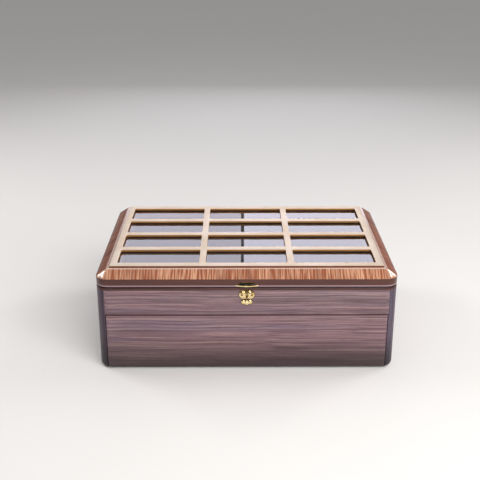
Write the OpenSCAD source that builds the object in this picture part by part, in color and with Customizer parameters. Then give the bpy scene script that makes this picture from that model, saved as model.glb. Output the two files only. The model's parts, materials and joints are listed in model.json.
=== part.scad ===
// Glasses box: a walnut case with a lined tray, a flush drawer below it and a glazed lid
// whose champagne grille divides the glass into windows over the cells of the tray.
// Origin at the middle of the footprint, on the surface that the box stands on.
// Width along X, front towards -Y, up along +Z. Lengths in millimetres.

/* [Case] */
// Overall width of the case and the lid
case_w = 540; // [460:1:620]
// Depth from the front face to the back face
case_d = 380; // [340:1:440]
// Height of the case walls above the surface
case_h = 164; // [152:0.5:200]
// Thickness of the case walls
wall_t = 15; // [14:0.5:18]
// Radius of the upright corners
corner_r = 23; // [22:0.1:23.5]
// Thickness of the tongues that join the walls to the corner posts
tongue_t = 5; // [3:0.5:6]
// Length of the tongues that join the walls to the corner posts
tongue_l = 4; // [2:0.5:4.5]
// Distance of the tongues from the upper and lower edges of the walls
tongue_stop = 12; // [10:1:20]
// Radius of the rounded lower edge
base_r = 9; // [5:0.5:9.5]
// Radius of the eased upper edge of the case
case_edge_r = 1.5; // [0.5:0.1:2.5]
// Height of the front rail above the drawer
front_rail_h = 54; // [49:0.5:62]
// Thickness of the bottom board
bottom_t = 8; // [6:0.5:10]
// Thickness of the deck between the tray and the drawer
deck_t = 8; // [6:0.5:10]
// Depth of the grooves in the walls for the deck and the bottom board
groove = 4; // [2:0.5:4.5]
// Thickness of the felt under the base
felt_t = 1.2; // [0.8:0.1:2]
// Distance of the felt from the outer faces
felt_inset = 11; // [10:0.5:20]

/* [Tray] */
// Thickness of the suede lining on its card
lining_t = 2.5; // [1.5:0.1:4]
// Gap between neighbouring strips of lining
lining_gap = 0.2; // [0.1:0.05:0.5]
// Distance of the wall lining below the top of the case
lining_drop = 4; // [2:0.5:8]
// Thickness of the cell dividers
divider_t = 6; // [4:0.5:9]
// Distance of the dividers below the top of the case
divider_drop = 2.5; // [1:0.5:8]
// Clearance of the halved joints between dividers
divider_clear = 0.2; // [0.1:0.05:0.4]

/* [Lid] */
// Gap between the case and the lid
lid_gap = 0.8; // [0.3:0.05:1]
// Height of the upright band round the lid
lid_band_h = 15.6; // [13:0.2:20]
// Radius of the rounded lower edge of the lid
lid_edge_r = 2.5; // [1:0.1:4]
// Width of the bevel in plan
bevel_run = 18; // [14:0.5:20]
// Height of the bevel
bevel_rise = 12; // [8:0.5:15]
// Width of the flat rim between the bevel and the grille
rim_w = 6; // [3:0.5:9]
// Width of the lid rails in plan
rail_w = 32; // [30:0.5:34]

/* [Grille and glass] */
// Columns of windows
columns = 3; // [2:1:4]
// Rows of windows
rows = 4; // [2:1:5]
// Thickness of the grille plate
grille_t = 5; // [4:0.5:7]
// Depth of the grille's seat in the lid rails
grille_sink = 1.5; // [1:0.1:2.5]
// Clearance of the grille in its seat
seat_clear = 0.1; // [0.05:0.05:0.3]
// Width of the bars that run from front to back
bar_along_w = 12; // [10:0.5:16]
// Width of the bars that run from side to side
bar_across_w = 16; // [10:0.5:20]
// Least radius of the grille's outer corners
grille_round = 1; // [0.5:0.1:2]
// Radius of the window corners
window_r = 3; // [1:0.5:5]
// Thickness of the glass
glass_t = 4; // [3:0.5:5]
// Clearance of the glass between the rails
glass_clear = 0.5; // [0.2:0.1:1]
// Width of the beads that hold the glass
bead_w = 8; // [6:0.5:10]
// Height of the beads that hold the glass
bead_h = 10; // [7:0.5:12]
// Distance of a bead's mitred end from the corner
bead_gap = 0.1; // [0.05:0.05:0.3]

/* [Drawer] */
// Gap round the drawer front
drawer_gap = 1.2; // [0.6:0.1:2]
// Height of the drawer front above the lower edge of the case
drawer_lift = 0.8; // [0.5:0.1:2]
// Thickness of the drawer front
drawer_front_t = 18; // [16:0.5:22]
// Thickness of the drawer sides
drawer_side_t = 12; // [11:0.5:15]
// Height of the drawer sides
drawer_side_h = 82; // [70:1:86]
// Gap between a drawer side and the case
drawer_side_gap = 1; // [0.6:0.1:2]
// Gap between the drawer sides and the bottom board
drawer_float = 2; // [1:0.5:4]
// Thickness of the drawer back
drawer_back_t = 12; // [9:0.5:15]
// Distance of the drawer back from the rear ends of the sides
drawer_back_inset = 8; // [4:1:14]
// Gap between the drawer and the case back
drawer_rear_gap = 8; // [4:1:20]
// Distance of the drawer back below the top of the sides
drawer_back_drop = 4; // [2:0.5:8]
// Thickness of the drawer bottom
drawer_bottom_t = 5; // [4:0.5:7]
// Height of the drawer bottom above the lower edge of the sides
drawer_bottom_rise = 5; // [4:0.5:8]
// Depth of the housings that join the drawer boards
housing = 4; // [2:0.5:4.5]
// Height of the runners
runner_h = 10; // [8:0.5:14]
// Depth of the runners in the drawer sides
runner_in = 6; // [4:0.5:6.5]
// Height of the runners' middle above the drawer sides' lower edge
runner_rise = 44; // [30:1:55]
// Clearance of the drawer sides on the runners
runner_clear = 0.3; // [0.2:0.05:0.5]
// Gap between the runners' front ends and the drawer front
runner_front_gap = 0.5; // [0.3:0.1:2]
// Radius of the finger groove under the drawer front
pull_r = 3.5; // [2:0.5:4]
// Length of the finger groove under the drawer front
pull_l = 140; // [80:5:240]

/* [Lock] */
// Width of the lock case
lock_w = 44; // [36:1:50]
// Height of the lock case
lock_h = 30; // [28:0.5:36]
// Depth of the lock case in the front rail
lock_t = 8; // [7.5:0.5:9]
// Thickness of the lock's front and back plates
lock_plate_t = 1.2; // [0.8:0.1:1.5]
// Length of the lock's top plate and of the strike plate
selvage_l = 60; // [56:1:72]
// Thickness of the lock's top plate and of the strike plate
selvage_t = 1.5; // [1:0.1:2]
// Width of the top plate in front of the lock case
selvage_lip = 1; // [0.5:0.1:2]
// Width of the bolt
bolt_w = 16; // [12:0.5:20]
// Thickness of the bolt
bolt_t = 3; // [2:0.1:3.5]
// Height of the bolt
bolt_h = 20; // [18:0.5:22]
// Travel of the bolt
bolt_throw = 6; // [4:0.5:7]
// Distance of the withdrawn bolt below the top plate's face
bolt_sink = 0.3; // [0.1:0.1:1]
// Clearance of the bolt in the lock case
bolt_clear = 0.2; // [0.1:0.05:0.4]
// Clearance round the bolt in the strike plate
strike_clear = 0.8; // [0.5:0.1:1.5]
// Room in the lid above the thrown bolt
bolt_room = 1; // [0.5:0.1:2]
// Distance of the drill pin below the top of the case
key_drop = 13; // [12.8:0.1:15]
// Radius of the drill pin
drill_pin_r = 1; // [0.8:0.1:1.2]
// Room round the drill pin in the bolt's notch
notch_room = 1.5; // [1:0.1:2.5]
// Radius of the keyhole's round part
keyhole_r = 2.8; // [2.2:0.1:3]
// Height of the keyhole's pointed top above the drill pin
keyhole_tip = 6.8; // [5:0.2:7.2]
// Width of the keyhole's slot at the drill pin
key_slot_w = 2.8; // [2.2:0.1:3.4]
// Width of the keyhole's slot at its lower end
key_slot_end_w = 4.2; // [2.8:0.1:5]
// Length of the keyhole's slot below the drill pin
key_slot_l = 10.8; // [8:0.2:11.2]

/* [Escutcheon and lid lift] */
// Thickness of the escutcheon plate
escutcheon_t = 1.4; // [1:0.1:2]
// Radius of the escutcheon's two upper lobes
lobe_r = 8.6; // [8:0.1:9]
// Distance of the upper lobes from the middle
lobe_x = 5.8; // [5.4:0.1:6.4]
// Height of the domes on the upper lobes
dome_h = 1.8; // [0.8:0.1:2.2]
// Height of the domes on the lower lobes
drop_dome_h = 1.1; // [0.4:0.1:1.4]
// Width of the flat rim round the domes
dome_rim = 0.7; // [0.4:0.1:1]
// Radius of the flats on top of the domes
dome_flat_r = 0.8; // [0.4:0.1:1.2]
// Distance of the escutcheon screws outside the middles of the upper lobes
lobe_screw_out = 3.1; // [2.6:0.1:3.4]
// Radius of the escutcheon's three lower lobes
drop_r = 4.8; // [4.4:0.1:5.2]
// Distance of the outer lower lobes from the middle
drop_x = 5.8; // [5.4:0.1:6.4]
// Distance of the outer lower lobes below the drill pin
drop_z = 14.1; // [13.4:0.1:14.8]
// Distance of the middle lower lobe below the outer ones
drop_hang = 1.6; // [0.8:0.1:2.4]
// Width of the escutcheon between the upper and the lower lobes
waist_w = 13; // [11:0.5:17]
// Height of the escutcheon's tip above the drill pin
tip_z = 12.2; // [10:0.2:12.6]
// Length of the lid lift's lip
lift_l = 40; // [30:1:60]
// Distance that the lip stands in front of the lid
lift_proud = 4; // [3.4:0.1:6]
// Height of the lid lift
lift_h = 7.6; // [7:0.1:8.6]
// Thickness of the lip
lip_t = 1.9; // [1.5:0.1:2.4]
// Depth of the finger cove above the lip
cove_depth = 2.4; // [1.8:0.1:2.6]
// Height of the cove's deepest line above the lip
cove_rise = 3.1; // [2.7:0.1:3.5]
// Height of the lift's lower face above the lid's underside
lift_rise = 2.4; // [1:0.1:4]
// Radius of the pegs behind the lid lift
peg_r = 1.5; // [1:0.1:2]
// Length of the pegs behind the lid lift
peg_l = 8; // [5:0.5:12]
// Distance of the pegs from the middle
peg_x = 9; // [6:0.5:12]

/* [Hinges] */
// Distance of the hinges from the middle of the box
hinge_x = 170; // [100:1:190]
// Length of a hinge
hinge_l = 60; // [45:1:75]
// Width of a leaf on the wood
leaf_w = 11; // [9:0.5:13]
// Thickness of a leaf
leaf_t = 1.2; // [0.8:0.1:1.4]
// Radius of the knuckles
knuckle_r = 1.85; // [1.6:0.05:3]
// Radius of the hinge pins
hinge_pin_r = 0.9; // [0.6:0.05:1]
// Radial clearance of the hinge pins
pin_clear = 0.05; // [0.02:0.01:0.1]
// Gap between neighbouring knuckles
knuckle_gap = 0.3; // [0.2:0.05:0.6]
// Gap between the knuckles and the back of the box
knuckle_back_gap = 0.3; // [0.2:0.05:1]

/* [Screws] */
// Shank radius of the hinge and runner screws
screw_r = 1.3; // [1:0.1:1.6]
// Head radius of the hinge and runner screws
screw_head_r = 2.5; // [2:0.1:3]
// Length of the hinge and runner screws
screw_l = 12; // [9:0.5:13]
// Shank radius of the small brass screws
small_screw_r = 0.9; // [0.6:0.1:1.1]
// Head radius of the small brass screws
small_head_r = 1.8; // [1.4:0.1:2.2]
// Length of the small brass screws
small_screw_l = 10; // [8:0.5:12]
// Length of the escutcheon screws
escutcheon_screw_l = 8; // [6:0.5:8.5]
// Length of the screws through the glass beads
bead_screw_l = 16; // [13:0.5:20]
// Screws along each runner
runner_screw_count = 3; // [2:1:5]
// Distance of the end screws from the ends of what they hold
screw_end = 24; // [16:1:40]

/* [Hidden] */
$fn = 64;
// Length by which a cutting shape passes the face that it cuts
over = 1;
half_w = case_w / 2;
half_d = case_d / 2;
inner_w = case_w - 2 * wall_t;
inner_d = case_d - 2 * wall_t;
rail_z0 = case_h - front_rail_h;
tray_z = rail_z0 + deck_t;
tray_floor_z = tray_z + lining_t;
lining_top = case_h - lining_drop;
divider_top = case_h - divider_drop;
divider_mid = (tray_floor_z + divider_top) / 2;
tray_w = inner_w - 2 * lining_t;
tray_d = inner_d - 2 * lining_t;
lid_z0 = case_h + lid_gap;
band_z = lid_z0 + lid_band_h;
rim_z = band_z + bevel_rise;
border = bevel_run + rim_w;
seat_z = rim_z - grille_sink;
glass_z = seat_z - glass_t;
lid_open_w = case_w - 2 * rail_w;
lid_open_d = case_d - 2 * rail_w;
grille_w = case_w - 2 * (border + seat_clear);
grille_d = case_d - 2 * (border + seat_clear);
grille_corner_r = max(grille_round, corner_r - border);
window_w = (grille_w - (columns + 1) * bar_along_w) / columns;
window_d = (grille_d - (rows + 1) * bar_across_w) / rows;
pitch_x = window_w + bar_along_w;
pitch_y = window_d + bar_across_w;
drawer_z0 = felt_t + drawer_lift;
drawer_top = rail_z0 - drawer_gap;
drawer_w = inner_w - 2 * drawer_gap;
front_back_y = -half_d + drawer_front_t;
side_out_x = inner_w / 2 - drawer_side_gap;
side_in_x = side_out_x - drawer_side_t;
side_z0 = felt_t + bottom_t + drawer_float;
side_top = side_z0 + drawer_side_h;
side_end_y = half_d - wall_t - drawer_rear_gap;
back_end_y = side_end_y - drawer_back_inset;
back_face_y = back_end_y - drawer_back_t;
drawer_floor_z = side_z0 + drawer_bottom_rise + drawer_bottom_t;
runner_z = side_z0 + runner_rise;
runner_t = drawer_side_gap + runner_in;
runner_y0 = front_back_y + runner_front_gap;
runner_l = half_d - wall_t - runner_y0;
lock_face_y = -half_d + wall_t;
selvage_w = lock_t + selvage_lip;
bolt_z0 = case_h - bolt_sink - bolt_h;
bolt_y0 = lock_face_y - lock_plate_t - bolt_clear - bolt_t;
key_z = case_h - key_drop;
key_room = drill_pin_r + notch_room;
// Middles of the escutcheon's two upper lobes, from the drill pin
upper_lobes = [for (s = [-1, 1]) [s * lobe_x, 0]];
// Middles of the escutcheon's three lower lobes, from the drill pin
lower_lobes = [[-drop_x, -drop_z], [0, -drop_z - drop_hang], [drop_x, -drop_z]];
axis_y = half_d + knuckle_r + knuckle_back_gap;
axis_z = case_h + lid_gap / 2;
knuckle_l = hinge_l / 3;
leaf_screw_y = half_d - leaf_w / 2;
walnut = "#6f4d40";
veneer = "#a8663f";
champagne = "#dccbb6";
brass = "#d2ac55";
suede = "#8d8390";
felt = "#3a2f2b";

// Sections are drawn with x measured outwards from the axis of the upright corner and y upwards

// Waste outside a rounded edge at height z, with the board above it (up = 1) or below it (up = -1)
module edge_waste(z, r, up) {
    difference() {
        translate([corner_r - r, up > 0 ? z - over : z - r])
            square([r + over, r + over]);
        translate([corner_r - r, z + up * r])
            circle(r);
    }
}

// Section of an upright board behind the outer face, its lower edge eased on the case's own round
module board_section(t, z0, z1) {
    difference() {
        translate([corner_r - t, z0])
            square([t, z1 - z0]);
        edge_waste(felt_t, base_r, 1);
    }
}

module wall_section(t, z0) {
    difference() {
        board_section(t, z0, case_h);
        edge_waste(case_h, case_edge_r, -1);
    }
}

module lid_section() {
    difference() {
        polygon([
            [corner_r, lid_z0],
            [corner_r, band_z],
            [corner_r - bevel_run, rim_z],
            [corner_r - border, rim_z],
            [corner_r - border, seat_z],
            [corner_r - rail_w, seat_z],
            [corner_r - rail_w, lid_z0]]);
        edge_waste(lid_z0, lid_edge_r, 1);
    }
}

// A section drawn out along X from the left end of a front of the given length and distance
module front_run(length, span) {
    translate([-length / 2, corner_r - span, 0])
        rotate([90, 0, 90])
            linear_extrude(length)
                mirror([1, 0])
                    children();
}

// Turned corner of the case at the left end of a front of the given half length and distance
module turned_corner(half_length, span) {
    translate([corner_r - half_length, corner_r - span, 0])
        rotate_extrude(angle = 90, start = 180)
            wall_section(corner_r, felt_t);
}

// Board facing -Y with the given section, whose ends follow the turned corners
module curved_board(length, half_length, span, depth, z0, z1) {
    front_run(2 * (half_length - corner_r), span)
        children();
    for (m = [0, 1])
        mirror([m, 0, 0])
            intersection() {
                turned_corner(half_length, span);
                span_box([-length / 2, -span - over, z0], [corner_r - half_length, depth - span, z1]);
            }
}

// The part of a section that lies outside the axis of the upright corner
module outer_part() {
    intersection() {
        children();
        square([corner_r, rim_z + over]);
    }
}

// One side of the lid's round-cornered frame, facing -Y, mitred to its neighbours at both ends
module mitred_front(length, span, depth) {
    reach = depth + over;
    end = length / 2;
    front_run(length - 2 * corner_r, span)
        outer_part()
            children();
    intersection() {
        linear_extrude(rim_z + over)
            polygon([
                [-end, -span],
                [end, -span],
                [end - reach, reach - span],
                [reach - end, reach - span]]);
        front_run(length, span)
            intersection() {
                children();
                translate([-depth, 0])
                    square([depth, rim_z + over]);
            }
    }
    for (s = [-1, 1])
        translate([s * (end - corner_r), corner_r - span, 0])
            rotate_extrude(angle = 45, start = s > 0 ? 270 : 225)
                outer_part()
                    children();
}

// Plate of width w and depth d with round corners
module round_plate(w, d, r) {
    square([w - 2 * r, d], center = true);
    square([w, d - 2 * r], center = true);
    for (sx = [-1, 1], sy = [-1, 1])
        translate([sx * (w / 2 - r), sy * (d / 2 - r)])
            circle(r);
}

// Box between two opposite corners
module span_box(a, b) {
    translate(a)
        cube(b - a);
}

// Countersunk screw with its head's face at the origin and its shank pointing down
module countersunk(r, head_r, l) {
    rotate_extrude()
        polygon([[0, 0], [head_r, 0], [r, r - head_r], [r, -l], [0, -l]]);
}

module wood_screw() {
    countersunk(screw_r, screw_head_r, screw_l);
}

module small_screw(l = small_screw_l) {
    countersunk(small_screw_r, small_head_r, l);
}

// Holes for the screws, open in front of the heads
module wood_screw_hole() {
    wood_screw();
    cylinder(r = screw_head_r, h = over);
}

module small_screw_hole(l = small_screw_l) {
    small_screw(l);
    cylinder(r = small_head_r, h = over);
}

// Case

module deck_shape() {
    span_box([-inner_w / 2 - groove, -inner_d / 2 - groove, rail_z0],
        [inner_w / 2 + groove, inner_d / 2 + groove, tray_z]);
}

module bottom_shape() {
    front = front_back_y + runner_front_gap;
    back = inner_d / 2 + groove;
    translate([0, (front + back) / 2, felt_t])
        linear_extrude(bottom_t)
            round_plate(inner_w + 2 * groove, back - front, corner_r - wall_t + groove);
}

module runner_screw_places() {
    step = (runner_l - 2 * screw_end) / (runner_screw_count - 1);
    for (i = [0 : runner_screw_count - 1])
        translate([runner_t - inner_w / 2, runner_y0 + screw_end + i * step, runner_z])
            rotate([0, 90, 0])
                children();
}

// Tongue along a wall, facing -Y, that ends in the corner posts
module wall_tongue(length, span, z0) {
    end = length / 2 + tongue_l;
    y0 = (wall_t - tongue_t) / 2 - span;
    span_box([-end, y0, z0 + tongue_stop], [end, y0 + tongue_t, case_h - tongue_stop]);
}

// Wall between two corner posts, facing -Y
module wall_board(length, span, z0) {
    curved_board(length, length / 2 + wall_t, span, wall_t, z0, case_h)
        wall_section(wall_t, z0);
    wall_tongue(length, span, z0);
}

// Front left corner post
module corner_post() {
    intersection() {
        turned_corner(half_w, half_d);
        span_box([-half_w - over, -half_d - over, felt_t], [-inner_w / 2, -inner_d / 2, case_h]);
    }
}

module corner_posts() {
    color(walnut)
        difference() {
            for (mx = [0, 1], my = [0, 1])
                mirror([mx, 0, 0])
                    mirror([0, my, 0])
                        corner_post();
            wall_tongue(inner_w, half_d, rail_z0);
            rotate([0, 0, 180])
                wall_tongue(inner_w, half_d, felt_t);
            for (turn = [-90, 90])
                rotate([0, 0, turn])
                    wall_tongue(inner_d, half_w, felt_t);
            deck_shape();
            bottom_shape();
        }
}

module left_side_board() {
    difference() {
        rotate([0, 0, -90])
            wall_board(inner_d, half_w, felt_t);
        deck_shape();
        bottom_shape();
        runner_screw_places()
            wood_screw_hole();
    }
}

module case_left_side() {
    color(walnut)
        left_side_board();
}

module case_right_side() {
    color(walnut)
        mirror([1, 0, 0])
            left_side_board();
}

module case_back() {
    color(walnut)
        difference() {
            rotate([0, 0, 180])
                wall_board(inner_w, half_d, felt_t);
            deck_shape();
            bottom_shape();
            each_hinge()
                leaf_recess(case_h - leaf_t, case_h + over);
            case_leaf_screw_places()
                wood_screw_hole();
        }
}

module case_front_rail() {
    color(walnut)
        difference() {
            wall_board(inner_w, half_d, rail_z0);
            deck_shape();
            lock_outline();
            keyhole_cut();
            lock_screw_places()
                small_screw_hole();
            escutcheon_screw_places()
                small_screw_hole(escutcheon_screw_l);
        }
}

module case_bottom() {
    color(walnut)
        bottom_shape();
}

module tray_deck() {
    color(walnut)
        deck_shape();
}

module base_felt() {
    depth = case_d - drawer_front_t - runner_front_gap - felt_inset;
    color(felt)
        translate([0, half_d - felt_inset - depth / 2, 0])
            linear_extrude(felt_t)
                round_plate(case_w - 2 * felt_inset, depth, corner_r);
}

// Drawer runners

module left_runner_board() {
    difference() {
        span_box([-inner_w / 2, runner_y0, runner_z - runner_h / 2],
            [runner_t - inner_w / 2, runner_y0 + runner_l, runner_z + runner_h / 2]);
        runner_screw_places()
            wood_screw_hole();
    }
}

module runner_left() {
    color(walnut)
        left_runner_board();
}

module runner_right() {
    color(walnut)
        mirror([1, 0, 0])
            left_runner_board();
}

module runner_screws() {
    color(brass)
        for (m = [0, 1])
            mirror([m, 0, 0])
                runner_screw_places()
                    wood_screw();
}

// Tray

module tray_floor_lining() {
    color(suede)
        span_box([-inner_w / 2, -inner_d / 2, tray_z], [inner_w / 2, inner_d / 2, tray_floor_z]);
}

// Four lining strips round the inside of an open box, from height z0 to z1
module lining_strips(x, y0, y1, z0, z1) {
    for (m = [0, 1])
        mirror([m, 0, 0])
            span_box([x - lining_t, y0 + lining_t + lining_gap, z0], [x, y1 - lining_t - lining_gap, z1]);
    span_box([-x, y0, z0], [x, y0 + lining_t, z1]);
    span_box([-x, y1 - lining_t, z0], [x, y1, z1]);
}

module tray_wall_lining() {
    color(suede)
        lining_strips(inner_w / 2, -inner_d / 2, inner_d / 2, tray_floor_z, lining_top);
}

// Places of the lines between n cells, counted from the middle
function divider_lines(n, pitch) = [for (i = [1 : n - 1]) (i - n / 2) * pitch];

module column_dividers() {
    half = divider_t / 2;
    slot = half + divider_clear;
    color(suede)
        for (x = divider_lines(columns, pitch_x))
            difference() {
                span_box([x - half, -tray_d / 2, tray_floor_z], [x + half, tray_d / 2, divider_top]);
                for (y = divider_lines(rows, pitch_y))
                    span_box([x - slot, y - slot, tray_floor_z - over],
                        [x + slot, y + slot, divider_mid]);
            }
}

module row_dividers() {
    half = divider_t / 2;
    slot = half + divider_clear;
    color(suede)
        for (y = divider_lines(rows, pitch_y))
            difference() {
                span_box([-tray_w / 2, y - half, tray_floor_z], [tray_w / 2, y + half, divider_top]);
                for (x = divider_lines(columns, pitch_x))
                    span_box([x - slot, y - slot, divider_mid], [x + slot, y + slot, divider_top + over]);
            }
}

// Lock

module lock_body_shape() {
    span_box([-lock_w / 2, lock_face_y - lock_t, case_h - lock_h], [lock_w / 2, lock_face_y, case_h]);
}

// Top plate of the lock, and its twin in the lid, with the lower face at height z
module selvage_shape(z) {
    span_box([-selvage_l / 2, lock_face_y - selvage_w, z], [selvage_l / 2, lock_face_y, z + selvage_t]);
}

module lock_outline() {
    lock_body_shape();
    selvage_shape(case_h - selvage_t);
}

module keyhole_cut() {
    depth = wall_t - lock_t + lock_plate_t;
    translate([0, depth + over - half_d, key_z])
        rotate([90, 0, 0])
            linear_extrude(depth + escutcheon_t + dome_h + 2 * over)
                keyhole_outline();
}

module keyhole_outline() {
    circle(keyhole_r);
    polygon([
        [-key_slot_w / 2, 0],
        [-key_slot_end_w / 2, -key_slot_l],
        [key_slot_end_w / 2, -key_slot_l],
        [key_slot_w / 2, 0],
        [0, keyhole_tip]]);
}

module lock_screw_places() {
    for (s = [-1, 1])
        translate([s * (selvage_l + lock_w) / 4, lock_face_y - selvage_w / 2, case_h])
            children();
}

module lock_case() {
    color(brass)
        difference() {
            lock_outline();
            span_box([-bolt_w / 2 - bolt_clear, bolt_y0 - bolt_clear, bolt_z0 - bolt_clear],
                [bolt_w / 2 + bolt_clear, bolt_y0 + bolt_t + bolt_clear, case_h + over]);
            span_box([-bolt_w / 2, lock_face_y - lock_t + lock_plate_t, case_h - lock_h + lock_plate_t],
                [bolt_w / 2, lock_face_y - lock_plate_t, key_z + key_room]);
            keyhole_cut();
            lock_screw_places()
                small_screw_hole();
        }
}

module lock_drill_pin() {
    length = wall_t - lock_plate_t + escutcheon_t / 2;
    color(brass)
        translate([0, lock_face_y - lock_plate_t, key_z])
            rotate([90, 0, 0])
                cylinder(r = drill_pin_r, h = length);
}

module lock_screws() {
    color(brass)
        lock_screw_places()
            small_screw();
}

module lock_bolt() {
    color(brass)
        difference() {
            span_box([-bolt_w / 2, bolt_y0, bolt_z0], [bolt_w / 2, bolt_y0 + bolt_t, bolt_z0 + bolt_h]);
            span_box([-key_room, bolt_y0 - over, bolt_z0 - over],
                [key_room, bolt_y0 + bolt_t + over, key_z + key_room]);
        }
}

// Escutcheon, drawn round the drill pin

module escutcheon_outline() {
    for (middle = upper_lobes)
        translate(middle)
            circle(lobe_r);
    for (middle = lower_lobes)
        translate(middle)
            circle(drop_r);
    translate([-waist_w / 2, -drop_z])
        square([waist_w, drop_z]);
    polygon([[-lobe_x, 0], [lobe_x, 0], [0, tip_z]]);
}

// Low dome on a lobe of radius r, a zone of a large sphere with a small flat on top
module lobe_dome(r, h) {
    cap_r = r - dome_rim;
    sink = (cap_r * cap_r - dome_flat_r * dome_flat_r - h * h) / (2 * h);
    rotate_extrude()
        intersection() {
            translate([0, -sink])
                circle(sqrt(cap_r * cap_r + sink * sink));
            square([r, h]);
        }
}

module escutcheon_screw_places() {
    for (s = [-1, 1])
        translate([s * (lobe_x + lobe_screw_out), -half_d - escutcheon_t - dome_h / 2, key_z])
            rotate([90, 0, 0])
                children();
}

module escutcheon() {
    color(brass)
        difference() {
            translate([0, -half_d, key_z])
                rotate([90, 0, 0]) {
                    linear_extrude(escutcheon_t)
                        escutcheon_outline();
                    translate([0, 0, escutcheon_t]) {
                        for (middle = upper_lobes)
                            translate(middle)
                                lobe_dome(lobe_r, dome_h);
                        for (middle = lower_lobes)
                            translate(middle)
                                lobe_dome(drop_r, drop_dome_h);
                    }
                }
            keyhole_cut();
            escutcheon_screw_places()
                small_screw(escutcheon_screw_l);
            escutcheon_screw_places()
                cylinder(r = small_head_r, h = dome_h);
        }
}

module escutcheon_screws() {
    color(brass)
        escutcheon_screw_places()
            small_screw(escutcheon_screw_l);
}

// Hinges

module each_hinge() {
    for (s = [-1, 1])
        translate([s * hinge_x, 0, 0])
            children();
}

// Leaf plate on the wood, with its lower face at height z
module leaf_plate(z) {
    span_box([-hinge_l / 2, half_d - leaf_w, z], [hinge_l / 2, half_d, z + leaf_t]);
}

// Recess in the wood for a leaf, open at the back of the box, between two heights
module leaf_recess(z0, z1) {
    span_box([-hinge_l / 2, half_d - leaf_w, z0], [hinge_l / 2, half_d + over, z1]);
}

// Knuckle between two places along the hinge, with the web that joins it to its leaf at height z
module knuckle(x0, x1, z) {
    difference() {
        union() {
            translate([x0, axis_y, axis_z])
                rotate([0, 90, 0])
                    cylinder(r = knuckle_r, h = x1 - x0);
            span_box([x0, half_d - over, z], [x1, axis_y, z + leaf_t]);
        }
        translate([x0 - over, axis_y, axis_z])
            rotate([0, 90, 0])
                cylinder(r = hinge_pin_r + pin_clear, h = x1 - x0 + 2 * over);
    }
}

module leaf_screw_places(z) {
    for (i = [-1, 0, 1])
        translate([i * knuckle_l, leaf_screw_y, z])
            children();
}

module case_leaf_screw_places() {
    each_hinge()
        leaf_screw_places(case_h)
            children();
}

module lid_leaf_screw_places() {
    each_hinge()
        leaf_screw_places(lid_z0)
            mirror([0, 0, 1])
                children();
}

module hinge_case_leaves() {
    inner = (knuckle_l + knuckle_gap) / 2;
    color(brass)
        each_hinge()
            difference() {
                union() {
                    leaf_plate(case_h - leaf_t);
                    knuckle(-hinge_l / 2, -inner, case_h - leaf_t);
                    knuckle(inner, hinge_l / 2, case_h - leaf_t);
                }
                leaf_screw_places(case_h)
                    wood_screw_hole();
            }
}

module hinge_lid_leaves() {
    half = (knuckle_l - knuckle_gap) / 2;
    color(brass)
        each_hinge()
            difference() {
                union() {
                    leaf_plate(lid_z0);
                    knuckle(-half, half, lid_z0);
                }
                leaf_screw_places(lid_z0)
                    mirror([0, 0, 1])
                        wood_screw_hole();
            }
}

module hinge_pins() {
    color(brass)
        each_hinge()
            translate([-hinge_l / 2, axis_y, axis_z])
                rotate([0, 90, 0])
                    cylinder(r = hinge_pin_r, h = hinge_l);
}

module hinge_case_screws() {
    color(brass)
        case_leaf_screw_places()
            wood_screw();
}

module hinge_lid_screws() {
    color(brass)
        lid_leaf_screw_places()
            wood_screw();
}

// Lid

// Places of the screws through the beads along one side, facing -Y, into the rail
module bead_screw_row(length, span, count) {
    step = (length - 2 * screw_end - 2 * bead_w) / (count - 1);
    for (i = [0 : count - 1])
        translate([
            screw_end + bead_w - length / 2 + i * step,
            rail_w - span + bead_w,
            glass_z - bead_h / 2])
            rotate([-90, 0, 0])
                children();
}

module front_bead_screw_places() {
    bead_screw_row(lid_open_w, half_d, columns + 1)
        children();
}

module side_bead_screw_places() {
    bead_screw_row(lid_open_d, half_w, columns)
        children();
}

// Opening for the bolt, from below the lid up to height z
module bolt_opening(z) {
    span_box([-bolt_w / 2 - strike_clear, bolt_y0 - strike_clear, lid_z0 - over],
        [bolt_w / 2 + strike_clear, bolt_y0 + bolt_t + strike_clear, z]);
}

module lid_front_rail() {
    color(veneer)
        difference() {
            mitred_front(case_w, half_d, rail_w)
                lid_section();
            selvage_shape(lid_z0);
            bolt_opening(lid_z0 + bolt_throw + bolt_room);
            strike_screw_places()
                small_screw_hole();
            lift_pegs();
            front_bead_screw_places()
                small_screw_hole(bead_screw_l);
        }
}

module lid_back_rail() {
    color(veneer)
        difference() {
            rotate([0, 0, 180])
                mitred_front(case_w, half_d, rail_w)
                    lid_section();
            each_hinge()
                leaf_recess(lid_z0 - over, lid_z0 + leaf_t);
            lid_leaf_screw_places()
                wood_screw_hole();
            rotate([0, 0, 180])
                front_bead_screw_places()
                    small_screw_hole(bead_screw_l);
        }
}

// Side rail of the lid, turned to the left or to the right
module side_rail(turn) {
    rotate([0, 0, turn])
        difference() {
            mitred_front(case_d, half_w, rail_w)
                lid_section();
            side_bead_screw_places()
                small_screw_hole(bead_screw_l);
        }
}

module lid_left_rail() {
    color(veneer)
        side_rail(-90);
}

module lid_right_rail() {
    color(veneer)
        side_rail(90);
}

module grille() {
    color(champagne)
        translate([0, 0, seat_z])
            linear_extrude(grille_t)
                difference() {
                    round_plate(grille_w, grille_d, grille_corner_r);
                    for (i = [0 : columns - 1], j = [0 : rows - 1])
                        translate([(i - (columns - 1) / 2) * pitch_x, (j - (rows - 1) / 2) * pitch_y])
                            round_plate(window_w, window_d, window_r);
                }
}

module glass_pane() {
    w = lid_open_w - 2 * glass_clear;
    d = lid_open_d - 2 * glass_clear;
    color("#c9cbd3", 0.4)
        span_box([-w / 2, -d / 2, glass_z], [w / 2, d / 2, seat_z]);
}

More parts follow.
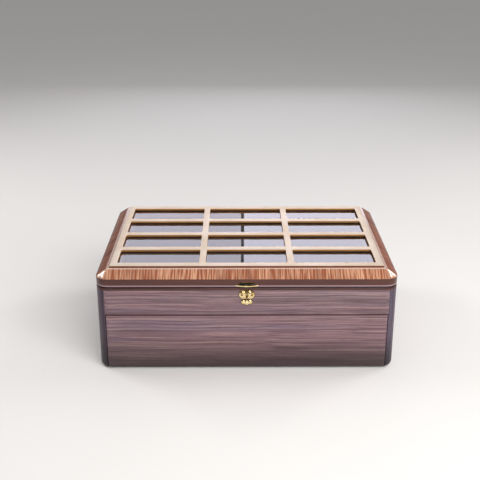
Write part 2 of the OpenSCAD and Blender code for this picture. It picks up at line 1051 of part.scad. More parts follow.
// Bead along one side, facing -Y, mitred at both ends
module bead(length, span) {
    end = length / 2 - bead_gap;
    y0 = rail_w - span;
    translate([0, 0, glass_z - bead_h])
        linear_extrude(bead_h)
            polygon([[-end, y0], [end, y0], [end - bead_w, y0 + bead_w], [bead_w - end, y0 + bead_w]]);
}

module glass_beads() {
    color(walnut)
        for (turn = [0, 180])
            rotate([0, 0, turn]) {
                difference() {
                    bead(lid_open_w, half_d);
                    front_bead_screw_places()
                        small_screw_hole(bead_screw_l);
                }
                rotate([0, 0, 90])
                    difference() {
                        bead(lid_open_d, half_w);
                        side_bead_screw_places()
                            small_screw_hole(bead_screw_l);
                    }
            }
}

module bead_screws() {
    color(brass)
        for (turn = [0, 180])
            rotate([0, 0, turn]) {
                front_bead_screw_places()
                    small_screw(bead_screw_l);
                rotate([0, 0, 90])
                    side_bead_screw_places()
                        small_screw(bead_screw_l);
            }
}

// The lip is a turned form with its axis behind the lid's front face, cut off flush with that face
module lid_lift() {
    turn_r = (lift_l * lift_l / 4 + lift_proud * lift_proud) / (2 * lift_proud);
    cove_out = (cove_rise * cove_rise - cove_depth * cove_depth) / (2 * cove_depth);
    color(brass)
        union() {
            intersection() {
                translate([0, turn_r - lift_proud - half_d, lid_z0 + lift_rise])
                    rotate_extrude($fn = 128)
                        difference() {
                            square([turn_r, lift_h]);
                            translate([turn_r + cove_out, lip_t + cove_rise])
                                circle(cove_depth + cove_out);
                        }
                span_box([-lift_l, -half_d - 2 * lift_proud, lid_z0],
                    [lift_l, -half_d, lid_z0 + 2 * lift_h]);
            }
            lift_pegs();
        }
}

module lift_pegs() {
    for (s = [-1, 1])
        translate([s * peg_x, -half_d, lid_z0 + lift_rise + lip_t + cove_rise])
            rotate([-90, 0, 0])
                cylinder(r = peg_r, h = peg_l);
}

module strike_screw_places() {
    for (s = [-1, 1])
        translate([s * (selvage_l + lock_w) / 4, lock_face_y - selvage_w / 2, lid_z0])
            mirror([0, 0, 1])
                children();
}

module strike_plate() {
    color(brass)
        difference() {
            selvage_shape(lid_z0);
            bolt_opening(lid_z0 + selvage_t + over);
            strike_screw_places()
                small_screw_hole();
        }
}

module strike_screws() {
    color(brass)
        strike_screw_places()
            small_screw();
}

// Drawer

module drawer_bottom_shape() {
    span_box([-side_in_x - housing, front_back_y - housing, side_z0 + drawer_bottom_rise],
        [side_in_x + housing, back_end_y, drawer_floor_z]);
}

module drawer_back_shape() {
    span_box([-side_in_x - housing, back_face_y, drawer_floor_z],
        [side_in_x + housing, back_end_y, side_top - drawer_back_drop]);
}

// Left drawer side as a plain board, before its grooves
module drawer_side_board() {
    span_box([-side_out_x, front_back_y - housing, side_z0], [-side_in_x, side_end_y, side_top]);
}

module drawer_front() {
    color(walnut)
        difference() {
            curved_board(drawer_w, half_w, half_d, drawer_front_t, drawer_z0, drawer_top)
                board_section(drawer_front_t, drawer_z0, drawer_top);
            drawer_bottom_shape();
            for (m = [0, 1])
                mirror([m, 0, 0])
                    drawer_side_board();
            translate([-pull_l / 2, front_back_y - (drawer_front_t - base_r) / 2, drawer_z0])
                rotate([0, 90, 0])
                    cylinder(r = pull_r, h = pull_l);
        }
}

module drawer_left_board() {
    groove_h = runner_h / 2 + runner_clear;
    difference() {
        drawer_side_board();
        drawer_bottom_shape();
        drawer_back_shape();
        span_box([-side_out_x - over, front_back_y, runner_z - groove_h],
            [runner_in + runner_clear - side_out_x, side_end_y + over, runner_z + groove_h]);
    }
}

module drawer_left_side() {
    color(walnut)
        drawer_left_board();
}

module drawer_right_side() {
    color(walnut)
        mirror([1, 0, 0])
            drawer_left_board();
}

module drawer_back() {
    color(walnut)
        drawer_back_shape();
}

module drawer_bottom() {
    color(walnut)
        drawer_bottom_shape();
}

module drawer_floor_lining() {
    color(suede)
        span_box([-side_in_x, front_back_y, drawer_floor_z],
            [side_in_x, back_face_y, drawer_floor_z + lining_t]);
}

module drawer_wall_lining() {
    color(suede)
        lining_strips(side_in_x, front_back_y, back_face_y,
            drawer_floor_z + lining_t, side_top - drawer_back_drop);
}

corner_posts();
case_left_side();
case_right_side();
case_back();
case_front_rail();
case_bottom();
tray_deck();
runner_left();
runner_right();
runner_screws();
base_felt();
tray_floor_lining();
tray_wall_lining();
column_dividers();
row_dividers();
lock_case();
lock_drill_pin();
lock_screws();
lock_bolt();
escutcheon();
escutcheon_screws();
hinge_case_leaves();
hinge_pins();
hinge_case_screws();
lid_front_rail();
lid_back_rail();
lid_left_rail();
lid_right_rail();
grille();
glass_pane();
glass_beads();
bead_screws();
lid_lift();
strike_plate();
strike_screws();
hinge_lid_leaves();
hinge_lid_screws();
drawer_front();
drawer_left_side();
drawer_right_side();
drawer_back();
drawer_bottom();
drawer_floor_lining();
drawer_wall_lining();
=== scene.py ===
"""Glasses box: walnut case and drawer, crossbanded lid, champagne grille, glass, brass and suede."""
import json
import math

import bmesh
import bpy
from mathutils import Matrix, Vector

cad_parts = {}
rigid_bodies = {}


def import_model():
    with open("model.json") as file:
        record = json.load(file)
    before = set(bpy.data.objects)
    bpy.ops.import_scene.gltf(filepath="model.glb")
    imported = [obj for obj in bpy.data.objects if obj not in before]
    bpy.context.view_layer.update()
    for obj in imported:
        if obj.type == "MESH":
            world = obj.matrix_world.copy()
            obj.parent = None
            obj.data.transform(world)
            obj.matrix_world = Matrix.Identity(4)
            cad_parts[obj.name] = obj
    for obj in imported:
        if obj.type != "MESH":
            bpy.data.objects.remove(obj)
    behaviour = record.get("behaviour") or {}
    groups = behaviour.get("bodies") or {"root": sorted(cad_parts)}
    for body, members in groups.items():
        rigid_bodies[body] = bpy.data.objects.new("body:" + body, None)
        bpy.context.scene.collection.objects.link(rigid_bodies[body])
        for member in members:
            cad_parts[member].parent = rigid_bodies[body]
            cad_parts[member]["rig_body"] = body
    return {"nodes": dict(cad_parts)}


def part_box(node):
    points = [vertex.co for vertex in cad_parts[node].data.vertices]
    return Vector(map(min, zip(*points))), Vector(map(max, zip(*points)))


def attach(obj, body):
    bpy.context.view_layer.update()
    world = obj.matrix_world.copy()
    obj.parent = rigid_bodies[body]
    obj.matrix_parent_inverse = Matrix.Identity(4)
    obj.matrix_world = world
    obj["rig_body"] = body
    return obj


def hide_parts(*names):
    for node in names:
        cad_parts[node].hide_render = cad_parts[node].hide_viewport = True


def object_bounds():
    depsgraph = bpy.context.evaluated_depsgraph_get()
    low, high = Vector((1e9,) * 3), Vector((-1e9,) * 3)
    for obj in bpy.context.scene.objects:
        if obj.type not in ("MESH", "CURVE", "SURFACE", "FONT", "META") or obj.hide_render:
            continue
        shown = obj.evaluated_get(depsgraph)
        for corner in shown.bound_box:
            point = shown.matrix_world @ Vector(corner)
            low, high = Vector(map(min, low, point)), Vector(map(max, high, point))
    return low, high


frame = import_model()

bl_info = {
    "name": "Glasses box",
    "version": (1, 0, 0),
    "blender": (4, 5, 0),
    "location": "3D View > Sidebar > Glasses box",
    "description": "Models and finishes the pieces of a glasses box round its construction",
    "category": "Add Mesh",
}

MM = 0.001
X, Y, Z = 0, 1, 2
CAD_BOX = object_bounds()

# Places that the pieces share, read from the construction
RAIL_LOW, RAIL_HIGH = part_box("case_front_rail")
DRAWER_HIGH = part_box("drawer_front")[1]
LID_LOW, LID_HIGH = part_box("lid_front_rail")
GRILLE_LOW, GRILLE_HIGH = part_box("grille")
FRONT_Y = RAIL_LOW.y
CASE_TOP = RAIL_HIGH.z

# How far behind the front the faces in the gaps round the drawer front are given painted shade, and from
# which height
GAP_DEPTH = 25 * MM
GAP_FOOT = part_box("corner_posts")[0].z + MM

# Merging distance of a copied mesh, and the angle below which its neighbouring faces count as flat
MERGE = 0.001 * MM
FLAT = math.radians(0.4)
# How far a place may lie from a plane and still count as on it
NEAR = 0.05 * MM
# Width over which a painted band of light or shade goes over into the veneer next to it
BAND_BLUR = 0.3 * MM
# Depth below the lid's top and inset from its outside at which the lamps of the front corners are aimed
HIP_INSET = 10 * MM
# Part of a face's normal along an axis: more than SQUARE where the face lies square to the axis, more than
# LEANING where it leans that way, and less than ALONGSIDE where it runs with the axis
SQUARE, LEANING, ALONGSIDE = 0.9, 0.4, 0.1
# Length from which an upper edge of the lining is rounded
SHORTEST_ROUNDED = 10 * MM
# Angle by which the slot of each screw of a group is turned past the one before
SLOT_TURN = math.radians(23.0)
# Width of the floor
FLOOR_SIZE = 30.0


def tone(code):
    """Linear colour from a hexadecimal one, as a colour picker shows it."""
    parts = [int(code[i:i + 2], 16) / 255 for i in (1, 3, 5)]
    return tuple(c / 12.92 if c <= 0.04045 else ((c + 0.055) / 1.055) ** 2.4 for c in parts)


def shade(paint, share):
    """A darker shade of a colour."""
    return tuple(share * c for c in paint)


# Settings


def size(name, description, default):
    """A setting for a length."""
    return bpy.props.FloatProperty(
        name=name, description=description, default=default, min=0.0, precision=5,
        subtype="DISTANCE", unit="LENGTH")


def colour(name, description, code):
    """A setting for a colour."""
    return bpy.props.FloatVectorProperty(
        name=name, description=description, default=tone(code), size=3, min=0.0, max=1.0, subtype="COLOR")


def strength(name, description, default):
    """A setting for the power or the strength of a light."""
    return bpy.props.FloatProperty(name=name, description=description, default=default, min=0.0)


class WoodSettings(bpy.types.PropertyGroup):
    """Edges and colours of the wooden pieces."""
    board_ease: size("Board edges", "Rounding of the boards' edges", 0.7 * MM)
    drawer_ease: size("Drawer edges", "Rounding of the drawer front's edges", 1.1 * MM)
    lid_ease: size("Lid edges", "Rounding of the edges of the lid's bevel", 0.7 * MM)
    # Painted shade: a dark band along the top of the case, where the lid's edge keeps reflected light off
    # it
    case_top_shade_height: size("Edging", "Height of the dark edging along the top of the case", 5 * MM)
    # Painted shadow: a dark line on the eased upper edge of the case, in the seam under the lid
    seam_shadow_height: size("Seam", "Height of the dark line on the eased upper edge of the case", 1.3 * MM)
    # Painted shade: the front rail's lower edge is painted dark along the gap above the drawer
    gap_shade_height: size("Gap", "Height of the dark lower edge of the front rail", 1.8 * MM)
    # Painted reflection: the lid band's rounded lower edge is painted paler
    lid_foot_reflection_height: size("Lid's lower edge", "Height of the paler lower edge of the lid's band", 3.6 * MM)
    # Painted shade: below this height the case's veneer is painted darker towards the bottom
    base_shade_height: size("Deepening", "Height below which the case's veneer goes darker", 85 * MM)
    # Painted shadow of the seam between lid and case
    seam: colour("Seam, dark", "Dark line on the eased upper edge of the case", "#170d0b")
    # Painted shade for the gaps round the drawer front
    gap: colour("Gap, dark", "Stain in the gaps round the drawer front", "#38190f")
    walnut_light: colour("Walnut, light", "Ground of the walnut veneer", "#7d5f65")
    walnut_streak: colour("Walnut, streak", "Violet patches of the walnut veneer", "#63586b")
    walnut_grey: colour("Walnut, grey", "Grey-brown patches of the walnut veneer", "#716060")
    walnut_dark: colour("Walnut, dark", "Dark lines of the walnut veneer", "#402a30")
    walnut_pale: colour("Walnut, pale", "Pale lines of the walnut veneer", "#ac8b80")
    # Upright grain of the corner posts, painted darker: partly their own tone, partly painted shade where
    # the round corners turn from the light
    post_dark_grain_and_shade: colour("Posts, dark", "Dark lines of the corner posts", "#2c2129")
    post_light_grain_and_shade: colour("Posts, light", "Light lines of the corner posts", "#503f4f")
    band_dark: colour("Lid band, dark", "Dark lines of the band round the lid", "#34130c")
    band_light: colour("Lid band, light", "Light lines of the band round the lid", "#51261b")
    # Painted reflection on the lid band's rounded lower edge
    band_foot_reflection: colour("Lid band, foot", "Paler lower edge of the band round the lid", "#8f737a")
    inside_dark: colour("Inside, dark", "Dark lines of the boards inside", "#563c30")
    inside_light: colour("Inside, light", "Light lines of the boards inside", "#7d5a48")
    crossband_dark: colour("Crossband, dark", "Dark stripes of the crossbanded bevel", "#5c1f10")
    crossband_mid: colour("Crossband, middle", "Ground of the crossbanded bevel", "#8b4e35")
    crossband_light: colour("Crossband, light", "Light stripes of the crossbanded bevel", "#d9a684")
    # Painted shade: the bevel's light stripes on the lid's sides are painted darker
    crossband_side_shade: colour("Crossband, sides", "Light stripes of the bevel on the lid's sides", "#9a6650")
    # Painted reflection: the rim round the grille is painted pale, less so beside it
    rim_painted_reflection: colour("Rim, light", "Light ground of the flat rim round the grille", "#e6c6b8")
    rim_side_painted_reflection: colour("Rim, sides", "Ground of the flat rim beside the grille", "#c6aba0")


class MetalSettings(bpy.types.PropertyGroup):
    """Edges and colours of the metal pieces and of the glass."""
    grille_ease: size("Grille edges", "Rounding of the grille's edges", 0.6 * MM)
    brass_ease: size("Brass edges", "Rounding of the brass pieces' edges", 0.25 * MM)
    lip_height: size("Lip", "Height of the polished lip of the lid lift", 2.2 * MM)
    # A dark band painted along the foot of the grille's upright faces, where they meet the glass
    foot_band_height: size("Seal height", "Height of the dark seal above the grille's lower face", 1.8 * MM)
    slot_width: size("Screw slot width", "Width of the slots in the screws", 0.6 * MM)
    slot_depth: size("Screw slot depth", "Depth of the slots in the screws", 0.5 * MM)
    champagne: colour("Champagne", "Satin plate of the grille", "#f0decc")
    champagne_warm: colour("Champagne, warm", "Warmer patches of the grille's plate", "#e6d0b8")
    # Painted shade: the grille's upright faces are painted golden brown, those round its outside darker
    # brown
    champagne_edge: colour("Champagne, edges", "Golden upright faces of the grille", "#b07c42")
    champagne_outer_edge: colour("Champagne, outer edge", "Brown upright faces round the grille", "#7c4a2a")
    # Colour of the dark band painted along the foot of the grille's upright faces
    foot_band: colour("Seal", "Dark seal along the lower edge of the grille's upright faces", "#1c1310")
    brass: colour("Brass", "Polished brass", "#f3dda9")
    brass_deep: colour("Brass, deep", "Duller patches of the polished brass", "#d3ab66")
    # Painted reflection: brass painted dark where the escutcheon's flat ground, outlines and screws mirror
    # dark surroundings
    brass_dark_reflection: colour("Brass, aged", "Aged brass in hollows and on flat ground", "#6b4c28")
    # Painted shade: the lid lift's hollow is painted dark
    cove: colour("Cove", "Dark bronze of the lid lift's hollow", "#37332c")
    glass_tint: colour("Glass", "Tint of the glass", "#f4f2f6")


class SoftSettings(bpy.types.PropertyGroup):
    """Sizes and colours of the lined pieces."""
    divider_round: size("Divider edges", "Rounding of the dividers' upper edges", 2.2 * MM)
    lining_round: size("Lining edges", "Rounding of the lining's edges", 0.9 * MM)
    pad_sink: size("Pad edges", "Depth by which a pad falls off towards its edges", 0.9 * MM)
    pad_roll: size("Pad roll", "Width over which a pad falls off", 12 * MM)
    pad_grid: size("Pad grid", "Size of the faces of a pad", 4 * MM)
    suede: colour("Suede", "Nap of the suede lining", "#40373c")
    suede_dark: colour("Suede, brushed", "Nap brushed the other way", "#372f34")
    felt: colour("Felt", "Felt under the base", "#2d2623")
    felt_light: colour("Felt, fibres", "Lighter fibres of the felt", "#4a403b")


class StageSettings(bpy.types.PropertyGroup):
    """Camera, lamps and floor."""
    camera_place: bpy.props.FloatVectorProperty(
        name="Camera", description="Place of the camera", default=(-0.0178, -1.5681, 0.7839), size=3,
        subtype="TRANSLATION", unit="LENGTH")
    camera_pitch: bpy.props.FloatProperty(
        name="Camera pitch", description="Angle by which the camera looks down", default=math.radians(21.0),
        subtype="ANGLE", unit="ROTATION")
    camera_turn: bpy.props.FloatProperty(
        name="Camera turn", description="Angle by which the camera looks to the right",
        default=math.radians(0.234), subtype="ANGLE", unit="ROTATION")
    camera_lens: bpy.props.FloatProperty(
        name="Lens", description="Focal length of the camera in millimetres", default=63.75, min=1.0)
    key_power: strength("Key light", "Power of the large soft light in front and above, in watts", 29.5)
    left_panel_power: strength(
        "Left panel", "Power of the soft panel behind the box, to the left, in watts", 3.5)
    right_panel_power: strength(
        "Right panel", "Power of the soft panel behind the box, to the right, in watts", 5.2)
    panel_tint: colour("Panel tint", "Colour of the light of the panels behind the box", "#f0edff")
    corner_power: strength(
        "Corner lamps", "Power of each lamp that lights the lid's front corners, in watts", 11.0)
    fill_power: strength("Fill light", "Power of the soft light to the right of the box, in watts", 1.8)
    strip_power: strength("Strip light", "Power of the low strip light in front of the box, in watts", 0.5)
    room_high: strength("Room light above", "Strength of the room's light from straight above", 0.44)
    room_low: strength("Room light at the horizon", "Strength of the room's light from the horizon", 0.15)
    floor: colour("Floor", "Pale floor", "#ebe8e5")


class GlassesBoxSettings(bpy.types.PropertyGroup):
    """All settings of the glasses box."""
    wood: bpy.props.PointerProperty(type=WoodSettings, name="Wood", description="Wooden pieces")
    metal: bpy.props.PointerProperty(type=MetalSettings, name="Metal", description="Metal and glass")
    soft: bpy.props.PointerProperty(type=SoftSettings, name="Lining", description="Suede and felt")
    stage: bpy.props.PointerProperty(type=StageSettings, name="Stage", description="Camera and lamps")


def settings():
    return bpy.context.scene.glasses_box


# Shader maths


class Signal:
    """An output of a node. Sums, products and powers of signals add Math nodes."""

    def __init__(self, nodes, socket):
        self.nodes = nodes
        self.socket = socket

    def math(self, operation, first, second):
        return self.nodes.node("ShaderNodeMath", {"operation": operation}, {0: first, 1: second})

    def __add__(self, other):
        return self.math("ADD", self, other)

    def __radd__(self, other):
        return self.math("ADD", other, self)

    def __sub__(self, other):
        return self.math("SUBTRACT", self, other)

    def __rsub__(self, other):
        return self.math("SUBTRACT", other, self)

    def __mul__(self, other):
        return self.math("MULTIPLY", self, other)

    def __rmul__(self, other):
        return self.math("MULTIPLY", other, self)

    def __pow__(self, other):
        return self.math("POWER", self, other)

    def __rpow__(self, other):
        return self.math("POWER", other, self)


class Nodes:
    """An emptied node tree and the one method that adds nodes to it."""

    def __init__(self, tree):
        self.tree = tree
        self.tree.nodes.clear()

    def node(self, kind, setup=None, sockets=None, output=0):
        """Adds a node with its settings first, then the values or links of its sockets."""
        made = self.tree.nodes.new(kind)
        for name, value in (setup or {}).items():
            setattr(made, name, value)
        for key, value in (sockets or {}).items():
            if isinstance(value, Signal):
                self.tree.links.new(value.socket, made.inputs[key])
            else:
                made.inputs[key].default_value = value
        return Signal(self, made.outputs[output]) if len(made.outputs) else made


class Finish(Nodes):
    """A material and the nodes that its pattern is made of."""

    def __init__(self, name):
        self.material = bpy.data.materials.new(name)
        self.material.use_nodes = True
        super().__init__(self.material.node_tree)
        self.position = self.node("ShaderNodeTexCoord", output="Object")

    def scaled(self, vector, factors):
        return self.node("ShaderNodeVectorMath", {"operation": "MULTIPLY"}, {0: vector, 1: factors})

    def moved(self, vector, offset):
        return self.node("ShaderNodeVectorMath", {"operation": "ADD"}, {0: vector, 1: offset})

    def noise(self, vector, detail=2.0, roughness=0.5, output="Fac"):
        sockets = {"Vector": vector, "Scale": 1.0, "Detail": detail, "Roughness": roughness}
        return self.node("ShaderNodeTexNoise", None, sockets, output)

    def clouds(self, frequency, detail=2.0, roughness=0.5, place=None):
        """Noise that is alike in all directions, with its cycles per metre."""
        return self.noise(self.scaled(place or self.position, (frequency,) * 3), detail, roughness)

    def grain(self, place, axis, along, across, detail=2.0, roughness=0.5):
        """Noise with other cycles per metre along an axis than across it."""
        frequencies = tuple(along if i == axis else across for i in range(3))
        return self.noise(self.scaled(place, frequencies), detail, roughness)

    def smooth(self, value, low, high):
        """Goes from 0 to 1 as the value goes from low to high."""
        sockets = {"Value": value, "From Min": low, "From Max": high}
        return self.node("ShaderNodeMapRange", {"interpolation_type": "SMOOTHSTEP"}, sockets)

    def mix(self, first, second, factor):
        """Goes from one colour to another."""
        paint = [c if isinstance(c, Signal) else (*c, 1.0) for c in (first, second)]
        return self.node("ShaderNodeMix", {"data_type": "RGBA"}, {0: factor, 6: paint[0], 7: paint[1]}, 2)

    def height(self):
        """How high a place lies above the floor."""
        return self.node("ShaderNodeSeparateXYZ", None, {0: self.position}, "Z")

    def bump(self, height, depth):
        return self.node("ShaderNodeBump", None, {"Height": height, "Distance": depth, "Strength": 1.0})

    def drifted(self, amount, frequency):
        """The position, pushed to and fro by a slow noise."""
        push = self.noise(self.scaled(self.position, (frequency,) * 3), 1.0, output="Color")
        centred = self.moved(push, (-0.5,) * 3)
        sockets = {0: centred, 1: (amount,) * 3, 2: self.position}
        return self.node("ShaderNodeVectorMath", {"operation": "MULTIPLY_ADD"}, sockets)

    def surface(self, sockets):
        """Ends the material in one principled surface."""
        return self.end(self.node("ShaderNodeBsdfPrincipled", None, sockets))

    def end(self, shader):
        self.node("ShaderNodeOutputMaterial", None, {"Surface": shader})
        return self.material


FINISHES = {}


def finish_of(name, make, *choices, **named_choices):
    """A finish by name, made when it is first asked for."""
    if name not in FINISHES:
        FINISHES[name] = make(name, *choices, **named_choices)
    return FINISHES[name]


def grained(name, axis):
    """Name of a finish whose grain runs with an axis."""
    return f"{name}_along_{'xyz'[axis]}"


# Wood finishes


def veneer(name, axis, colours, gloss, light_and_shade_bands=(), base_shade_height=0.0):
    """Straight-grained veneer: patches drawn out along an axis, fine dark and pale lines and short pores.

    Its colours are those of the ground, two kinds of patches, the dark lines and the pale lines. It may
    have bands of painted light and shade, each between two heights, and painted shade that makes it darker
    below another height.
    """
    ground, patch, second_patch, dark, pale = colours
    finish = Finish(name)
    place = finish.drifted(8 * MM, frequency=6.0)
    shifted = finish.moved(place, (3.1, 1.7, 2.3))
    lines = finish.grain(place, axis, along=1.8, across=370.0, roughness=0.55)
    patches = finish.grain(place, axis, along=2.0, across=45.0)
    second_patches = finish.grain(shifted, axis, along=1.5, across=28.0)
    pores = finish.grain(place, axis, along=60.0, across=480.0, detail=1.0)
    dark_lines = finish.smooth(lines, 0.46, 0.66)
    pale_lines = 1.0 - finish.smooth(lines, 0.34, 0.5)
    open_pores = finish.smooth(pores, 0.56, 0.7)
    wood = finish.mix(ground, patch, finish.smooth(patches, 0.4, 0.62) * 0.45)
    wood = finish.mix(wood, second_patch, finish.smooth(second_patches, 0.45, 0.65) * 0.4)
    wood = finish.mix(wood, pale, pale_lines * 0.42)
    wood = finish.mix(wood, dark, dark_lines * 0.58)
    wood = finish.mix(wood, dark, open_pores * 0.2)
    # Painted shade: the veneer is painted darker towards the bottom
    if base_shade_height:
        base = 1.0 - finish.smooth(finish.height(), 0.0, base_shade_height)
        wood = finish.mix(wood, shade(dark, 0.3), base * 0.9)
    # Bands of painted light and shade: painted highlights, painted reflections and painted shadows, each
    # between two heights
    for low, high, edge_dark, edge_light in light_and_shade_bands:
        height = finish.height()
        above_low = finish.smooth(height, low - BAND_BLUR, low)
        above_high = finish.smooth(height, high, high + BAND_BLUR)
        wood = finish.mix(wood, finish.mix(edge_light, edge_dark, dark_lines), above_low - above_high)
    return finish.surface({
        "Base Color": wood,
        "Roughness": 0.34 + 0.1 * lines + 0.16 * open_pores,
        "Specular IOR Level": 0.35,
        "Coat Weight": gloss - 0.2 * gloss * open_pores,
        "Coat Roughness": 0.16,
        "Normal": finish.bump(-0.25 * lines - open_pores, depth=0.05 * MM)})


def walnut(axis, front=False):
    """Walnut veneer of the case. Along its top it has painted shade under the lid's edge and a painted
    shadow in the seam; on the front, a painted highlight on the drawer's top edge and painted shade on the
    rail's lower edge. The posts' upright grain is darker, partly as painted shade.
    """
    wood = settings().wood
    light_and_shade_bands = [
        # Painted shade along the top of the case under the lid's edge, then a painted shadow line in the
        # seam
        (CASE_TOP - wood.case_top_shade_height, CASE_TOP + wood.case_top_shade_height, wood.band_dark, wood.band_light),
        (CASE_TOP - wood.seam_shadow_height, CASE_TOP - BAND_BLUR, wood.seam, wood.seam)]
    if front:
        # Painted highlight: the drawer front's eased top edge is painted paler
        edge = DRAWER_HIGH.z - wood.drawer_ease
        light_and_shade_bands.append((edge, edge + wood.drawer_ease, wood.walnut_light, wood.walnut_light))
        # Painted shade along the front rail's lower edge, over the gap
        light_and_shade_bands.append((RAIL_LOW.z, RAIL_LOW.z + wood.gap_shade_height, wood.gap, wood.gap))
    colours = (wood.walnut_light, wood.walnut_streak, wood.walnut_grey, wood.walnut_dark, wood.walnut_pale)
    # The posts' darker colours are partly painted shade
    if axis == Z:
        colours = (wood.post_light_grain_and_shade, wood.post_dark_grain_and_shade, wood.walnut_streak, wood.post_dark_grain_and_shade, wood.post_light_grain_and_shade)
    name = "walnut_front" if front else grained("walnut", axis)
    gloss = 0.1 if axis == Z else 0.35
    return finish_of(name, veneer, axis, colours, gloss, light_and_shade_bands, wood.base_shade_height)


def two_tone(name, axis, dark, light, gloss, light_and_shade_bands=()):
    """Veneer in two colours."""
    colours = (light, dark, light, dark, light)
    return finish_of(grained(name, axis), veneer, axis, colours, gloss, light_and_shade_bands)


def lid_band(axis):
    """Dark veneer of the lid's upright band, with a painted reflection that makes its rounded lower edge
    paler.
    """
    wood = settings().wood
    # Painted reflection on the band's rounded lower edge
    foot = (LID_LOW.z + BAND_BLUR, LID_LOW.z + wood.lid_foot_reflection_height, wood.band_foot_reflection, wood.band_foot_reflection)
    return two_tone("lid_band", axis, wood.band_dark, wood.band_light, gloss=0.45, light_and_shade_bands=[foot])


def inside_wood(axis):
    """Plain wood of the boards inside."""
    wood = settings().wood
    return two_tone("inside_wood", axis, wood.inside_dark, wood.inside_light, gloss=0.2)


def seam_stain(name):
    """Dull dark paint with a soft cloudiness, as painted shade."""
    finish = Finish(name)
    clouds = finish.clouds(200.0)
    dark = settings().wood.gap
    return finish.surface({
        "Base Color": finish.mix(dark, shade(dark, 0.6), clouds),
        "Roughness": 0.6 + 0.2 * clouds,
        "Specular IOR Level": 0.2})


def gap_shade_finish():
    """Painted shade on the faces in the gaps round the drawer front."""
    return finish_of("seam_stain", seam_stain)


def crossband_veneer(name, axis, light, contrast, gloss):
    """Glossy veneer whose stripes stand square to an edge that runs with the axis."""
    wood = settings().wood
    finish = Finish(name)
    place = finish.drifted(1.2 * MM, frequency=20.0)
    density = 1.0 if axis == X else 0.6
    fine = finish.grain(place, axis, along=340.0 * density, across=11.0, detail=3.0, roughness=0.6)
    stripes = finish.grain(place, axis, along=170.0 * density, across=6.0, roughness=0.55)
    clouds = finish.grain(place, axis, along=38.0 * density, across=8.0)
    pale = finish.smooth(fine * 0.5 + stripes * 0.5, 0.44, 0.58)
    deep = finish.smooth(stripes * 0.68 + clouds * 0.32, 0.5, 0.62)
    hair = finish.smooth(fine, 0.54, 0.64)
    paint = finish.mix(wood.crossband_mid, light, 1.0 - contrast + contrast * pale)
    paint = finish.mix(paint, wood.crossband_dark, deep * 0.75 * contrast)
    paint = finish.mix(paint, wood.crossband_dark, hair * 0.65 * contrast)
    return finish.surface({
        "Base Color": paint,
        "Roughness": 0.22 + 0.1 * fine,
        "Specular IOR Level": 0.4 * gloss,
        "Coat Weight": gloss + 0.1 * stripes,
        "Coat Roughness": 0.05,
        "Normal": finish.bump(fine, depth=0.02 * MM)})


def crossband(axis):
    """Veneer of the lid's bevels, duller on its sides, where its light stripes are painted darker as
    painted shade.
    """
    wood = settings().wood
    light, gloss = (wood.crossband_light, 0.45) if axis == X else (wood.crossband_side_shade, 0.2)
    return finish_of(grained("crossband", axis), crossband_veneer, axis, light, contrast=1.0, gloss=gloss)


def hip(axis):
    """Veneer of the lid's round corners, polished higher than the bevels between them and painted paler as
    a painted highlight.
    """
    light = settings().wood.crossband_light
    # Lower contrast makes the hips paler: a painted highlight
    return finish_of(grained("hip", axis), crossband_veneer, axis, light, contrast=0.8, gloss=0.9)


def rim(axis):
    """Veneer of the flat rim round the grille, painted pale as a painted reflection, less so on the sides.
    """
    wood = settings().wood
    light = wood.rim_painted_reflection if axis == X else wood.rim_side_painted_reflection
    return finish_of(grained("rim", axis), crossband_veneer, axis, light, contrast=0.2, gloss=0.45)


# Metal, glass and lining finishes


def champagne_plate(name):
    """Satin anodised plate with a faint brushing and a soft cloudiness."""
    metal = settings().metal
    finish = Finish(name)
    brushing = finish.grain(finish.position, X, along=60.0, across=2400.0)
    clouds = finish.clouds(14.0, detail=3.0)
    return finish.surface({
        "Base Color": finish.mix(metal.champagne, metal.champagne_warm, finish.smooth(clouds, 0.35, 0.7)),
        "Metallic": 0.55,
        "Roughness": 0.42 + 0.1 * brushing + 0.04 * clouds,
        "Normal": finish.bump(brushing, depth=0.012 * MM)})


def champagne_edge(name, paint):
    """Upright faces of the plate, painted golden brown as painted shade, above a dark band painted along
    their foot.
    """
    metal = settings().metal
    finish = Finish(name)
    clouds = finish.clouds(40.0)
    foot_band_top = GRILLE_LOW.z + metal.foot_band_height
    # The upright faces are painted dark below the band's top
    above_foot_band = finish.smooth(finish.height(), foot_band_top - BAND_BLUR, foot_band_top)
    return finish.surface({
        "Base Color": finish.mix(metal.foot_band, finish.mix(paint, shade(paint, 0.6), clouds), above_foot_band),
        "Metallic": 0.2 * above_foot_band,
        "Roughness": 0.6 + 0.1 * clouds,
        "Specular IOR Level": 0.2})


def brass(name, paint, deep, roughness):
    """Brass with faint handling marks."""
    finish = Finish(name)
    clouds = finish.clouds(90.0, detail=3.0)
    marks = finish.grain(finish.position, Z, along=400.0, across=1500.0)
    return finish.surface({
        "Base Color": finish.mix(paint, deep, finish.smooth(clouds, 0.4, 0.75)),
        "Metallic": 1.0,
        "Roughness": roughness + 0.1 * clouds + 0.05 * marks,
        "Normal": finish.bump(marks, depth=0.01 * MM)})


def polished_brass():
    metal = settings().metal
    return finish_of("polished_brass", brass, metal.brass, metal.brass_deep, roughness=0.06)


# Brass painted dark as a painted reflection of dark surroundings
def aged_brass():
    paint = settings().metal.brass_dark_reflection
    return finish_of("aged_brass", brass, paint, shade(paint, 0.5), roughness=0.3)


# Dark brass as painted shade in the lid lift's hollow
def dark_bronze():
    paint = settings().metal.cove
    return finish_of("dark_bronze", brass, paint, shade(paint, 0.3), roughness=0.3)


